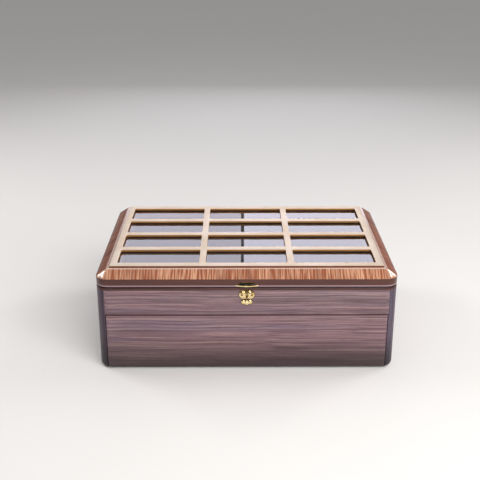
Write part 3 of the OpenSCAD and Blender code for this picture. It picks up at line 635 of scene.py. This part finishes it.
def clear_glass(name, mirroring):
    """Thin clear glass. Its upper face mirrors for both faces, more at a flat angle."""
    finish = Finish(name)
    through = finish.node("ShaderNodeBsdfTransparent", None, {"Color": (*settings().metal.glass_tint, 1.0)})
    if not mirroring:
        return finish.end(through)
    facing = finish.node("ShaderNodeLayerWeight", None, {"Blend": 0.5}, "Facing")
    mirror = finish.node("ShaderNodeBsdfGlossy", None, {"Roughness": 0.01})
    share = 0.08 + 0.92 * facing ** 4.0
    return finish.end(finish.node("ShaderNodeMixShader", None, {0: share, 1: through, 2: mirror}))


def suede(name):
    """Short-napped suede, brushed here and there the other way."""
    soft = settings().soft
    finish = Finish(name)
    brushed = finish.clouds(26.0, detail=4.0, roughness=0.6, place=finish.drifted(9 * MM, frequency=30.0))
    nap = finish.clouds(2600.0)
    paint = finish.mix(soft.suede, soft.suede_dark, finish.smooth(brushed, 0.42, 0.62))
    paint = finish.mix(paint, soft.suede_dark, 0.5 * finish.smooth(nap, 0.5, 0.75))
    return finish.surface({
        "Base Color": paint,
        "Roughness": 0.86 + 0.12 * brushed,
        "Sheen Weight": 0.35,
        "Sheen Roughness": 0.4,
        "Normal": finish.bump(nap + 0.6 * brushed, depth=0.12 * MM)})


def felt(name):
    """Pressed felt with lighter fibres."""
    soft = settings().soft
    finish = Finish(name)
    fibres = finish.clouds(700.0, detail=5.0, roughness=0.7, place=finish.drifted(4 * MM, frequency=300.0))
    return finish.surface({
        "Base Color": finish.mix(soft.felt, soft.felt_light, finish.smooth(fibres, 0.45, 0.7)),
        "Roughness": 0.92 + 0.06 * fibres,
        "Sheen Weight": 0.3,
        "Normal": finish.bump(fibres, depth=0.2 * MM)})


# Modelling


def activate(piece):
    """Selects a piece alone and makes it the active one."""
    bpy.ops.object.select_all(action="DESELECT")
    piece.select_set(True)
    bpy.context.view_layer.objects.active = piece


def copy_of(node, name):
    """A piece with the shape of a node: loose triangles merged, flat faces made whole."""
    piece = bpy.data.objects.new(name, frame["nodes"][node].data.copy())
    piece.data.name = name
    piece.data.materials.clear()
    bpy.context.scene.collection.objects.link(piece)
    activate(piece)
    bpy.ops.object.mode_set(mode="EDIT")
    bpy.ops.mesh.customdata_custom_splitnormals_clear()
    bpy.ops.mesh.select_all(action="SELECT")
    bpy.ops.mesh.remove_doubles(threshold=MERGE)
    bpy.ops.mesh.dissolve_limited(angle_limit=FLAT)
    bpy.ops.object.mode_set(mode="OBJECT")
    return piece


def ease(piece, width, chosen, segments=2):
    """Rounds the edges of a piece for which chosen(edge) is true."""
    activate(piece)
    bpy.ops.object.mode_set(mode="EDIT")
    bpy.ops.mesh.select_mode(type="EDGE")
    bpy.ops.mesh.select_all(action="DESELECT")
    mesh = bmesh.from_edit_mesh(piece.data)
    found = [e for e in mesh.edges if len(e.link_faces) == 2 and chosen(e)]
    if not found:
        raise RuntimeError(f"{piece.name}: no edge to ease")
    for edge in found:
        edge.select_set(True)
    bmesh.update_edit_mesh(piece.data)
    bpy.ops.mesh.bevel(offset=width, segments=segments, affect="EDGES", clamp_overlap=True)
    bpy.ops.object.mode_set(mode="OBJECT")


def soften(piece, angle=40.0):
    """Smooth shading across the piece's shallow edges."""
    activate(piece)
    bpy.ops.object.shade_smooth_by_angle(angle=math.radians(angle), keep_sharp_edges=False)


def at(value, place):
    return abs(value - place) < NEAR


def middle(edge):
    return (edge.verts[0].co + edge.verts[1].co) / 2


def lies_at(edge, axis, place):
    return all(at(v.co[axis], place) for v in edge.verts)


def normals(edge):
    return [f.normal for f in edge.link_faces]


def is_sharp(edge, degrees=60.0):
    return edge.calc_face_angle() > math.radians(degrees)


def top_edges(top, shortest=0.0):
    """A test for the sharp edges round an upper face, apart from those that are too short."""
    return lambda edge: lies_at(edge, Z, top) and is_sharp(edge) and edge.calc_length() > shortest


def finished(piece, node, slot, *materials):
    """Gives a piece its finishes, puts it on its node's body and lets it stand for the node."""
    for material in materials:
        piece.data.materials.append(material)
    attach(piece, frame["nodes"][node]["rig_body"])
    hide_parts(node)


def dress(node, material):
    """Gives a node that keeps its own mesh another finish."""
    node_object = frame["nodes"][node]
    for slot in node_object.material_slots:
        slot.material = material


# Case


class GLASSESBOX_OT_case(bpy.types.Operator):
    """Corner posts, side boards, back and front rail with eased edges."""
    bl_idname = "glasses_box.case"
    bl_label = "Case"

    def execute(self, context):
        width = settings().wood.board_ease
        inner_top = top_edges(CASE_TOP)

        def opening(edge):
            below = all(v.co.z < RAIL_LOW.z + NEAR for v in edge.verts)
            inward = any(abs(n.x) > SQUARE and n.x * middle(edge).x < 0 for n in normals(edge))
            outward = any(n.y < -ALONGSIDE for n in normals(edge))
            return below and inward and outward and is_sharp(edge, degrees=40.0)

        def rail_edge(edge):
            slopes = sorted(n.y for n in normals(edge))
            return lies_at(edge, Z, RAIL_LOW.z) and slopes[0] < -SQUARE and abs(slopes[1]) < ALONGSIDE

        def in_gap(face):
            below = face.center.y < FRONT_Y + GAP_DEPTH and face.center.z < RAIL_LOW.z + width
            inward = face.normal.x * face.center.x < 0 and abs(face.normal.x) > LEANING
            return below and (inward or face.normal.z < -LEANING) and face.center.z > GAP_FOOT

        boards = (
            ("corner_posts", "corner_post_set", Z, opening),
            ("case_left_side", "left_side_board", Y, inner_top),
            ("case_right_side", "right_side_board", Y, inner_top),
            ("case_back", "back_board", X, None),
            ("case_front_rail", "front_rail_board", X, rail_edge))
        for node, name, axis, chosen in boards:
            piece = copy_of(node, name)
            if chosen:
                ease(piece, width, chosen)
            soften(piece)
            face_veneer = walnut(axis, front=node == "case_front_rail")
            finished(piece, node, "walnut", face_veneer, gap_shade_finish())
            # Faces in the gaps round the drawer front get painted shade
            for face in piece.data.polygons:
                face.material_index = 1 if in_gap(face) else 0
        for node, axis in (("case_bottom", X), ("tray_deck", X), ("runner_left", Y), ("runner_right", Y)):
            dress(node, inside_wood(axis))
        return {"FINISHED"}


class GLASSESBOX_OT_drawer(bpy.types.Operator):
    """Flush drawer front with eased edges, and the drawer's boards."""
    bl_idname = "glasses_box.drawer"
    bl_label = "Drawer"

    def execute(self, context):
        wood = settings().wood

        def front_edge(edge):
            directions = normals(edge)
            outer = any(n.y < -LEANING for n in directions)
            at_end = abs(middle(edge).x) > DRAWER_HIGH.x - NEAR
            end = at_end and any(abs(n.x) > SQUARE for n in directions)
            top = any(n.z > SQUARE for n in directions)
            return outer and (end or top)

        front = copy_of("drawer_front", "drawer_face")
        ease(front, wood.drawer_ease, front_edge, segments=3)
        soften(front)
        finished(front, "drawer_front", "walnut", walnut(X, front=True), gap_shade_finish())
        # The drawer front's end faces, in the gaps, get painted shade
        for face in front.data.polygons:
            at_end = abs(face.center.x) > DRAWER_HIGH.x - 2 * wood.drawer_ease
            face.material_index = 1 if at_end and abs(face.normal.x) > LEANING else 0
        boards = (
            ("drawer_left_side", "drawer_left_board", Y),
            ("drawer_right_side", "drawer_right_board", Y),
            ("drawer_back", "drawer_back_board", X))
        for node, name, axis in boards:
            board = copy_of(node, name)
            ease(board, wood.board_ease, top_edges(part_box(node)[1].z))
            soften(board)
            finished(board, node, "walnut_inside", inside_wood(axis))
        dress("drawer_bottom", inside_wood(X))
        return {"FINISHED"}


# Lid


class GLASSESBOX_OT_lid_frame(bpy.types.Operator):
    """Mitred lid rails: crossbanded bevel and rim above a dark upright band."""
    bl_idname = "glasses_box.lid_frame"
    bl_label = "Lid frame"

    def execute(self, context):
        width = settings().wood.lid_ease
        # Upward part of the normal below which a face belongs to the band
        steep = 0.25

        def bevel_edge(edge):
            slopes = sorted(n.z for n in normals(edge))
            upper = at(slopes[1], 1.0) and slopes[0] > LEANING
            lower = abs(slopes[0]) < ALONGSIDE and LEANING < slopes[1] < SQUARE
            level = abs(edge.verts[0].co.z - edge.verts[1].co.z) < NEAR
            return level and (upper or (lower and not is_sharp(edge, degrees=80.0)))

        def part_of(face, bevel_foot):
            """Place of a face's finish among the rail's own: bevel, band, rim and hip."""
            if face.normal.z > SQUARE and face.center.z > LID_HIGH.z - width:
                return 2
            if face.normal.z < steep or face.center.z < bevel_foot:
                return 1
            return 3 if min(abs(face.normal.x), abs(face.normal.y)) > ALONGSIDE else 0

        for side, axis in (("front", X), ("back", X), ("left", Y), ("right", Y)):
            node = f"lid_{side}_rail"
            rail = copy_of(node, f"lid_{side}_frame")
            ease(rail, width, bevel_edge, segments=3)
            soften(rail, angle=25.0)
            veneers = (crossband(axis), lid_band(axis), rim(axis), hip(axis))
            finished(rail, node, "crossbanded_walnut", *veneers)
            bevel_foot = LID_HIGH.z - bevel_height(rail)
            for face in rail.data.polygons:
                face.material_index = part_of(face, bevel_foot)
        dress("glass_beads", inside_wood(X))
        return {"FINISHED"}


def bevel_height(rail):
    """Height of the sloping face of a lid rail, read from its mesh."""
    slope = max((f for f in rail.data.polygons if LEANING < f.normal.z < SQUARE), key=lambda f: f.area)
    heights = [rail.data.vertices[i].co.z for i in slope.vertices]
    return max(heights) - min(heights) + 2 * settings().wood.lid_ease


class GLASSESBOX_OT_grille(bpy.types.Operator):
    """Champagne grille plate with softened edges, and the glass below it."""
    bl_idname = "glasses_box.grille"
    bl_label = "Grille and glass"

    def execute(self, context):
        metal = settings().metal

        def distance_to_outside(place):
            return min(
                place.x - GRILLE_LOW.x, GRILLE_HIGH.x - place.x,
                place.y - GRILLE_LOW.y, GRILLE_HIGH.y - place.y)

        plate = copy_of("grille", "grille_plate")
        ease(plate, metal.grille_ease, top_edges(GRILLE_HIGH.z), segments=3)
        soften(plate)
        finished(
            plate, "grille", "champagne_plate", finish_of("champagne_plate", champagne_plate),
            finish_of("champagne_edge", champagne_edge, metal.champagne_edge),
            finish_of("champagne_outer_edge", champagne_edge, metal.champagne_outer_edge))
        # Upright faces get the painted shade
        for face in plate.data.polygons:
            upright = 2 if distance_to_outside(face.center) < metal.grille_ease else 1
            face.material_index = 0 if abs(face.normal.z) > SQUARE else upright
        pane = copy_of("glass_pane", "glass_sheet")
        finished(
            pane, "glass_pane", "clear_glass", finish_of("clear_glass", clear_glass, mirroring=True),
            finish_of("clear_glass_through", clear_glass, mirroring=False))
        for face in pane.data.polygons:
            face.material_index = 0 if face.normal.z > SQUARE else 1
        return {"FINISHED"}


# Brass


class GLASSESBOX_OT_brass(bpy.types.Operator):
    """Escutcheon, lid lift, lock and hinges in brass."""
    bl_idname = "glasses_box.brass"
    bl_label = "Brass fittings"

    def execute(self, context):
        metal = settings().metal
        # Area above which a flat face of the escutcheon is its ground
        ground_area = 20 * MM * MM
        # Upright part of the normal from which a face isn't part of the cove
        level = 0.95

        def plate_rim(edge):
            across = sorted(abs(n.y) for n in normals(edge))
            proud = max(v.co.y for v in edge.verts) < FRONT_Y - NEAR
            return proud and across[0] < ALONGSIDE and across[1] > SQUARE

        def lip_rim(edge):
            return is_sharp(edge, degrees=50.0) and max(v.co.y for v in edge.verts) < FRONT_Y - NEAR

        fittings = (
            ("escutcheon", "escutcheon_plate", plate_rim),
            ("lid_lift", "lid_lift_lip", lip_rim),
            ("lock_case", "lock_body", None),
            ("lock_bolt", "lock_bolt_bar", None),
            ("strike_plate", "strike_plate_bar", None),
            ("hinge_case_leaves", "hinge_lower_leaves", None),
            ("hinge_lid_leaves", "hinge_upper_leaves", None),
            ("hinge_pins", "hinge_pin_pair", None))
        for node, name, chosen in fittings:
            piece = copy_of(node, name)
            if chosen:
                ease(piece, metal.brass_ease, chosen)
            soften(piece, angle=30.0)
            # Second finishes: painted shade in the lid lift's hollow, painted dark reflection on the
            # escutcheon's ground and outlines
            second = dark_bronze() if node == "lid_lift" else aged_brass()
            finished(piece, node, "polished_brass", polished_brass(), second)
        # The escutcheon's flat ground and outline faces get the painted dark reflection, its domes polished
        # brass
        for face in bpy.data.objects["escutcheon_plate"].data.polygons:
            ground = at(face.normal.y, -1.0) and face.area > ground_area
            face.material_index = 1 if ground or abs(face.normal.y) < ALONGSIDE else 0
        # Faces above the lip, in the hollow, get the painted shade
        cove_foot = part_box("lid_lift")[0].z + metal.lip_height
        for face in bpy.data.objects["lid_lift_lip"].data.polygons:
            face.material_index = 1 if face.center.z > cove_foot and abs(face.normal.z) < level else 0
        dress("lock_drill_pin", polished_brass())
        return {"FINISHED"}


def cut_slot(screw, turn):
    """Cuts a slot across the head of one screw that points along X, Y or Z."""
    metal = settings().metal
    points = [v.co for v in screw.data.vertices]
    low = Vector([min(p[i] for p in points) for i in range(3)])
    high = Vector([max(p[i] for p in points) for i in range(3)])
    axis = max(range(3), key=lambda i: high[i] - low[i])
    sides = [i for i in range(3) if i != axis]

    def spread(place):
        ring = [p for p in points if at(p[axis], place)]
        return max((p[sides[0]] for p in ring), default=0) - min((p[sides[0]] for p in ring), default=0)

    head = high[axis] if spread(high[axis]) > spread(low[axis]) else low[axis]
    place = (low + high) / 2
    place[axis] = head
    scale = Vector((metal.slot_width,) * 3)
    scale[axis] = 2 * metal.slot_depth
    scale[sides[turn % 2]] = 2 * (high - low)[sides[0]]
    bpy.ops.object.select_all(action="DESELECT")
    bpy.ops.mesh.primitive_cube_add(size=1.0, location=place, scale=scale)
    cutter = bpy.context.active_object
    cutter.rotation_euler[axis] = SLOT_TURN * turn
    activate(screw)
    slot = screw.modifiers.new("slot", "BOOLEAN")
    slot.operation = "DIFFERENCE"
    slot.solver = "EXACT"
    slot.object = cutter
    bpy.ops.object.modifier_apply(modifier=slot.name)
    bpy.data.objects.remove(cutter)


class GLASSESBOX_OT_screws(bpy.types.Operator):
    """Countersunk brass screws with slotted heads."""
    bl_idname = "glasses_box.screws"
    bl_label = "Screws"

    def execute(self, context):
        for group in ("escutcheon", "lock", "strike", "hinge_case", "hinge_lid", "bead", "runner"):
            node = f"{group}_screws"
            whole = copy_of(node, f"{group}_slotted_screws")
            activate(whole)
            bpy.ops.mesh.separate(type="LOOSE")
            screws = list(bpy.context.selected_objects)
            for turn, screw in enumerate(sorted(screws, key=lambda s: s.name)):
                cut_slot(screw, turn)
            bpy.ops.object.select_all(action="DESELECT")
            for screw in screws:
                screw.select_set(True)
            bpy.context.view_layer.objects.active = whole
            bpy.ops.object.join()
            soften(whole, angle=30.0)
            # The escutcheon's screws get the painted dark reflection
            finish = aged_brass() if group == "escutcheon" else polished_brass()
            finished(whole, node, "brass_screws", finish)
        return {"FINISHED"}


# Lining


def crowned_pad(name, low, high):
    """A pad whose upper face falls off softly towards its edges."""
    soft = settings().soft
    span = high - low
    counts = [max(2, round(span[i] / soft.pad_grid)) for i in (X, Y)]
    bpy.ops.object.select_all(action="DESELECT")
    bpy.ops.mesh.primitive_grid_add(x_subdivisions=counts[0], y_subdivisions=counts[1], size=1.0)
    pad = bpy.context.active_object
    pad.name = name
    pad.data.name = name
    for vertex in pad.data.vertices:
        x = (vertex.co.x + 0.5) * span.x
        y = (vertex.co.y + 0.5) * span.y
        margin = min(x, span.x - x, y, span.y - y)
        fall = max(0.0, 1.0 - margin / soft.pad_roll) ** 2
        vertex.co = (low.x + x, low.y + y, high.z - soft.pad_sink * fall)
    activate(pad)
    thick = pad.modifiers.new("thickness", "SOLIDIFY")
    thick.thickness = span.z - soft.pad_sink
    thick.offset = -1.0
    bpy.ops.object.modifier_apply(modifier=thick.name)
    for vertex in pad.data.vertices:
        vertex.co.z = max(vertex.co.z, low.z)
    soften(pad, angle=50.0)
    return pad


class GLASSESBOX_OT_lining(bpy.types.Operator):
    """Suede pads, lining strips and cell dividers, and the felt under the base."""
    bl_idname = "glasses_box.lining"
    bl_label = "Lining"

    def execute(self, context):
        soft = settings().soft
        nap = finish_of("suede", suede)
        for room in ("tray", "drawer"):
            node = f"{room}_floor_lining"
            pad = crowned_pad(f"{room}_floor_pad", *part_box(node))
            finished(pad, node, "suede", nap)
        strips = (
            ("tray_wall_lining", "tray_wall_strips", soft.lining_round),
            ("drawer_wall_lining", "drawer_wall_strips", soft.lining_round),
            ("column_dividers", "column_divider_boards", soft.divider_round),
            ("row_dividers", "row_divider_boards", soft.divider_round))
        for node, name, width in strips:
            strip = copy_of(node, name)
            ease(strip, width, top_edges(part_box(node)[1].z, SHORTEST_ROUNDED), segments=4)
            soften(strip, angle=50.0)
            finished(strip, node, "suede", nap)
        sheet = copy_of("base_felt", "base_felt_sheet")
        soften(sheet)
        finished(sheet, "base_felt", "base_felt", finish_of("felt", felt))
        return {"FINISHED"}


# Stage


def soft_lamp(
        name, place, target, width, height, power, tint=(1.0, 1.0, 1.0), along=(1.0, 0.0, 0.0),
        spread=180.0, mirrored=True):
    """Rectangular soft lamp that faces a point, with its width along a direction.

    Its light stays within an angle, and glossy pieces may mirror the lamp or not.
    """
    lamp = bpy.data.lights.new(name, "AREA")
    lamp.shape = "RECTANGLE"
    lamp.size = width
    lamp.size_y = height
    lamp.energy = power
    lamp.color = tint
    lamp.spread = math.radians(spread)
    back = (Vector(place) - Vector(target)).normalized()
    side = (Vector(along) - Vector(along).project(back)).normalized()
    holder = bpy.data.objects.new(name, lamp)
    holder.location = place
    holder.rotation_euler = Matrix((side, back.cross(side), back)).transposed().to_euler()
    holder.visible_camera = False
    holder.visible_glossy = mirrored
    bpy.context.scene.collection.objects.link(holder)


def room_light(low, high):
    """World whose light grows from the horizon upwards."""
    world = bpy.data.worlds.new("room")
    world.use_nodes = True
    room = Nodes(world.node_tree)
    direction = room.node("ShaderNodeTexCoord", output="Generated")
    rise = room.node("ShaderNodeSeparateXYZ", None, {0: direction}, "Z")
    sockets = {"Value": rise, "To Min": low, "To Max": high}
    light = room.node("ShaderNodeMapRange", {"interpolation_type": "SMOOTHSTEP"}, sockets)
    white = (1.0, 1.0, 1.0, 1.0)
    background = room.node("ShaderNodeBackground", None, {"Color": white, "Strength": light})
    room.node("ShaderNodeOutputWorld", None, {"Surface": background})
    return world


def set_camera(scene):
    """Camera at the stage's place, looking down and a little to the side."""
    stage = settings().stage
    lens = bpy.data.cameras.new("camera")
    lens.lens = stage.camera_lens
    camera = bpy.data.objects.new("camera", lens)
    camera.location = stage.camera_place
    camera.rotation_euler = (math.radians(90.0) - stage.camera_pitch, 0.0, -stage.camera_turn)
    scene.collection.objects.link(camera)
    scene.camera = camera


def set_lamps():
    """Key, fill and strip in front, two panels behind, and a lamp for each of the lid's front corners."""
    stage = settings().stage
    soft_lamp(
        "key_light", place=(0.9, -2.1, 1.75), target=(0.0, -0.1, 0.1), width=2.2, height=1.5,
        power=stage.key_power, spread=125.0)
    soft_lamp(
        "fill_light", place=(1.5, -1.3, 0.7), target=(0.15, FRONT_Y, 0.1), width=1.0, height=1.0,
        power=stage.fill_power, spread=70.0, mirrored=False)
    soft_lamp(
        "strip_light", place=(0.0, -2.3, 0.5), target=(0.0, FRONT_Y, 0.15), width=0.9, height=0.07,
        power=stage.strip_power, spread=70.0)
    panels = (
        ("left_panel", -0.328, 0.665, stage.left_panel_power),
        ("right_panel", 0.37, 0.7, stage.right_panel_power))
    panel_y, panel_z = 2.6, 1.12
    for name, x, width, power in panels:
        soft_lamp(
            name, place=(x, panel_y, panel_z), target=(x, 0.0, panel_z), width=width, height=0.75,
            power=power, tint=stage.panel_tint)
    # Each corner lamp runs in the direction in which a hip mirrors it along its whole slope
    hip_x, hip_y, hip_z = LID_HIGH.x - HIP_INSET, LID_LOW.y + HIP_INSET, LID_HIGH.z - HIP_INSET
    for side, name in ((-1, "left"), (1, "right")):
        soft_lamp(
            f"{name}_corner_lamp", place=(side * 1.51, 0.64, 1.43), target=(side * hip_x, hip_y, hip_z),
            width=1.5, height=0.16, power=stage.corner_power, along=(-side * 0.158, -0.813, 0.696))


def floor_paint(name):
    """Matt pale floor."""
    finish = Finish(name)
    pale = settings().stage.floor
    return finish.surface({
        "Base Color": finish.mix(pale, shade(pale, 0.97), finish.clouds(3.0)),
        "Roughness": 0.8,
        "Specular IOR Level": 0.2})


class GLASSESBOX_OT_stage(bpy.types.Operator):
    """Camera, soft lamps, room light and a pale floor."""
    bl_idname = "glasses_box.stage"
    bl_label = "Stage"

    def execute(self, context):
        stage = settings().stage
        scene = context.scene
        scene.view_settings.view_transform = "Standard"
        set_camera(scene)
        set_lamps()
        scene.world = room_light(stage.room_low, stage.room_high)
        bpy.ops.object.select_all(action="DESELECT")
        bpy.ops.mesh.primitive_plane_add(size=FLOOR_SIZE, location=(0.0, 0.0, CAD_BOX[0][2]))
        floor = context.active_object
        floor.name = "floor"
        floor.data.materials.append(finish_of("floor", floor_paint))
        return {"FINISHED"}


class GLASSESBOX_PT_panel(bpy.types.Panel):
    """Steps and settings of the glasses box."""
    bl_idname = "GLASSESBOX_PT_panel"
    bl_label = "Glasses box"
    bl_space_type = "VIEW_3D"
    bl_region_type = "UI"
    bl_category = "Glasses box"

    def draw(self, context):
        for step in STEPS:
            self.layout.operator(step.bl_idname)
        for group in (settings().wood, settings().metal, settings().soft, settings().stage):
            box = self.layout.box()
            for name in group.__annotations__:
                box.prop(group, name)


STEPS = (
    GLASSESBOX_OT_stage, GLASSESBOX_OT_case, GLASSESBOX_OT_drawer, GLASSESBOX_OT_lid_frame,
    GLASSESBOX_OT_grille, GLASSESBOX_OT_brass, GLASSESBOX_OT_screws, GLASSESBOX_OT_lining)
CLASSES = (
    WoodSettings, MetalSettings, SoftSettings, StageSettings, GlassesBoxSettings, *STEPS,
    GLASSESBOX_PT_panel)


def register():
    for cls in CLASSES:
        bpy.utils.register_class(cls)
    bpy.types.Scene.glasses_box = bpy.props.PointerProperty(type=GlassesBoxSettings)


def unregister():
    del bpy.types.Scene.glasses_box
    for cls in reversed(CLASSES):
        bpy.utils.unregister_class(cls)


def main():
    register()
    bpy.ops.glasses_box.stage()
    bpy.ops.glasses_box.case()
    bpy.ops.glasses_box.drawer()
    bpy.ops.glasses_box.lid_frame()
    bpy.ops.glasses_box.grille()
    bpy.ops.glasses_box.brass()
    bpy.ops.glasses_box.screws()
    bpy.ops.glasses_box.lining()


if __name__ == "__main__":
    main()
